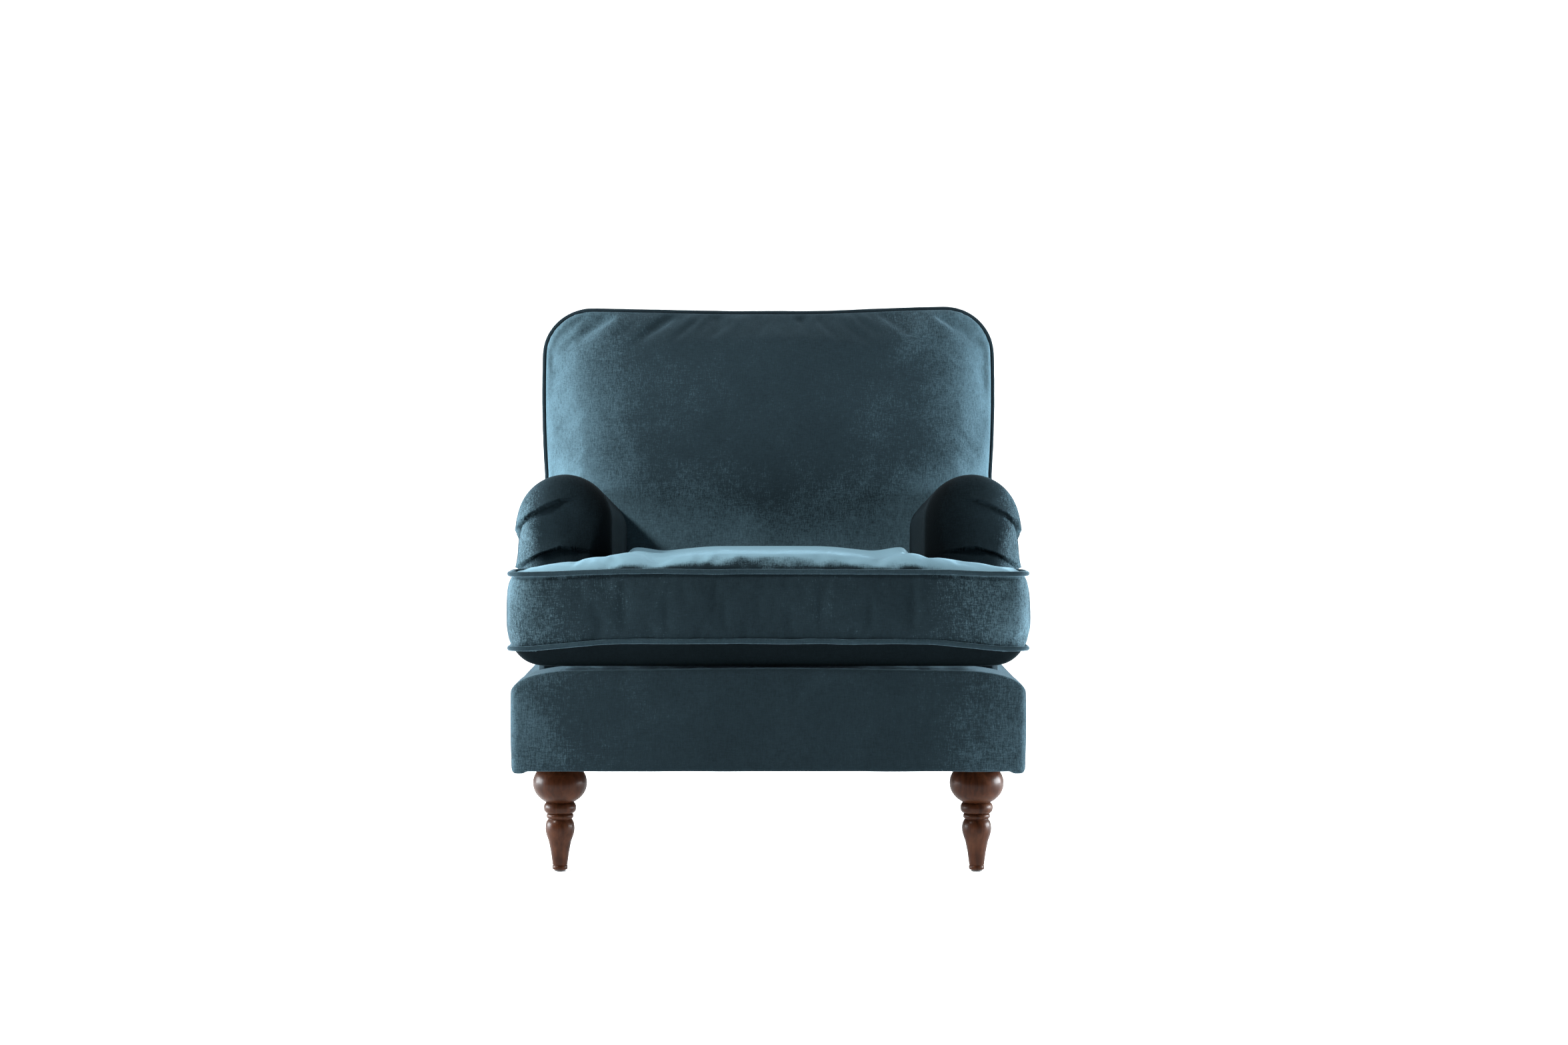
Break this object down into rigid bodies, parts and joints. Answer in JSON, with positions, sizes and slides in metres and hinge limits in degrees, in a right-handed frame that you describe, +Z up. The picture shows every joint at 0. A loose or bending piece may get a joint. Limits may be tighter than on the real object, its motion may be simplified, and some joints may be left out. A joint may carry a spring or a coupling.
{
  "type": "upholstered armchair",
  "caption": "Roll-arm upholstered armchair with a crowned reclined back, a loose T-shaped piped seat cushion and short turned front legs.",
  "frame": {"origin": "on the floor, under the middle of the chair's bounding box", "axes": "+Z up, -Y is the way the sitter faces, +X towards the chair's right side as seen from in front"},
  "size_m": [0.8146, 0.8888, 0.9115],
  "materials": {
    "velvet": "matte",
    "piping": "matte",
    "deck_cloth": "matte",
    "dust_cloth": "matte",
    "hardwood": "matte",
    "spring_steel": "satin",
    "webbing": "matte",
    "leg_wood": "satin",
    "bolt_steel": "satin",
    "glide_plastic": "matte",
    "zip_tape": "matte",
    "zip_metal": "satin"
  },
  "bodies": {
    "chair": {"front_border": "velvet", "side_border_left": "velvet", "side_border_right": "velvet", "rear_border": "velvet", "arm_pad_left": "velvet", "arm_pad_right": "velvet", "back_pad": "velvet", "back_border_left": "velvet", "back_border_right": "velvet", "back_border_top": "velvet", "back_outer_panel": "velvet", "back_piping": "piping", "seat_deck": "deck_cloth", "dust_cover": "dust_cloth", "front_rail": "hardwood", "rear_rail": "hardwood", "side_rail_left": "hardwood", "side_rail_right": "hardwood", "front_corner_block_left": "hardwood", "front_corner_block_right": "hardwood", "rear_corner_block_left": "hardwood", "rear_corner_block_right": "hardwood", "arm_post_left": "hardwood", "arm_post_right": "hardwood", "arm_board_left": "hardwood", "arm_board_right": "hardwood", "arm_slat_left": "hardwood", "arm_slat_right": "hardwood", "back_post_left": "hardwood", "back_post_right": "hardwood", "back_top_rail": "hardwood", "back_lower_rail": "hardwood", "seat_spring_1": "spring_steel", "seat_spring_2": "spring_steel", "seat_spring_3": "spring_steel", "seat_spring_4": "spring_steel", "seat_spring_5": "spring_steel", "back_web_1": "webbing", "back_web_2": "webbing", "back_web_3": "webbing", "back_web_4": "webbing", "front_left_leg": "leg_wood", "front_right_leg": "leg_wood", "rear_left_leg": "leg_wood", "rear_right_leg": "leg_wood", "front_left_leg_bolt": "bolt_steel", "front_right_leg_bolt": "bolt_steel", "rear_left_leg_bolt": "bolt_steel", "rear_right_leg_bolt": "bolt_steel", "front_left_glide": "glide_plastic", "front_right_glide": "glide_plastic", "rear_left_glide": "glide_plastic", "rear_right_glide": "glide_plastic"},
    "cushion": {"seat_cushion": "velvet", "cushion_piping_top": "piping", "cushion_piping_bottom": "piping", "zip_tape": "zip_tape"},
    "zip_slider": {"zip_slider": "zip_metal"},
    "zip_pull": {"zip_pull": "zip_metal"}
  },
  "joints": [
    {"name": "cushion_lift", "type": "slide", "parent": "chair", "child": "cushion", "axis": [0, 0, 1], "range_m": [0, 0.25]},
    {"name": "zip_slide", "type": "slide", "parent": "cushion", "child": "zip_slider", "axis": [1, 0, 0], "range_m": [0, 0.38]},
    {"name": "zip_pull_swing", "type": "hinge", "parent": "zip_slider", "child": "zip_pull", "pos_m": [-0.19, 0.1484, 0.4185], "axis": [1, 0, 0], "range_deg": [0, 90]}
  ]
}
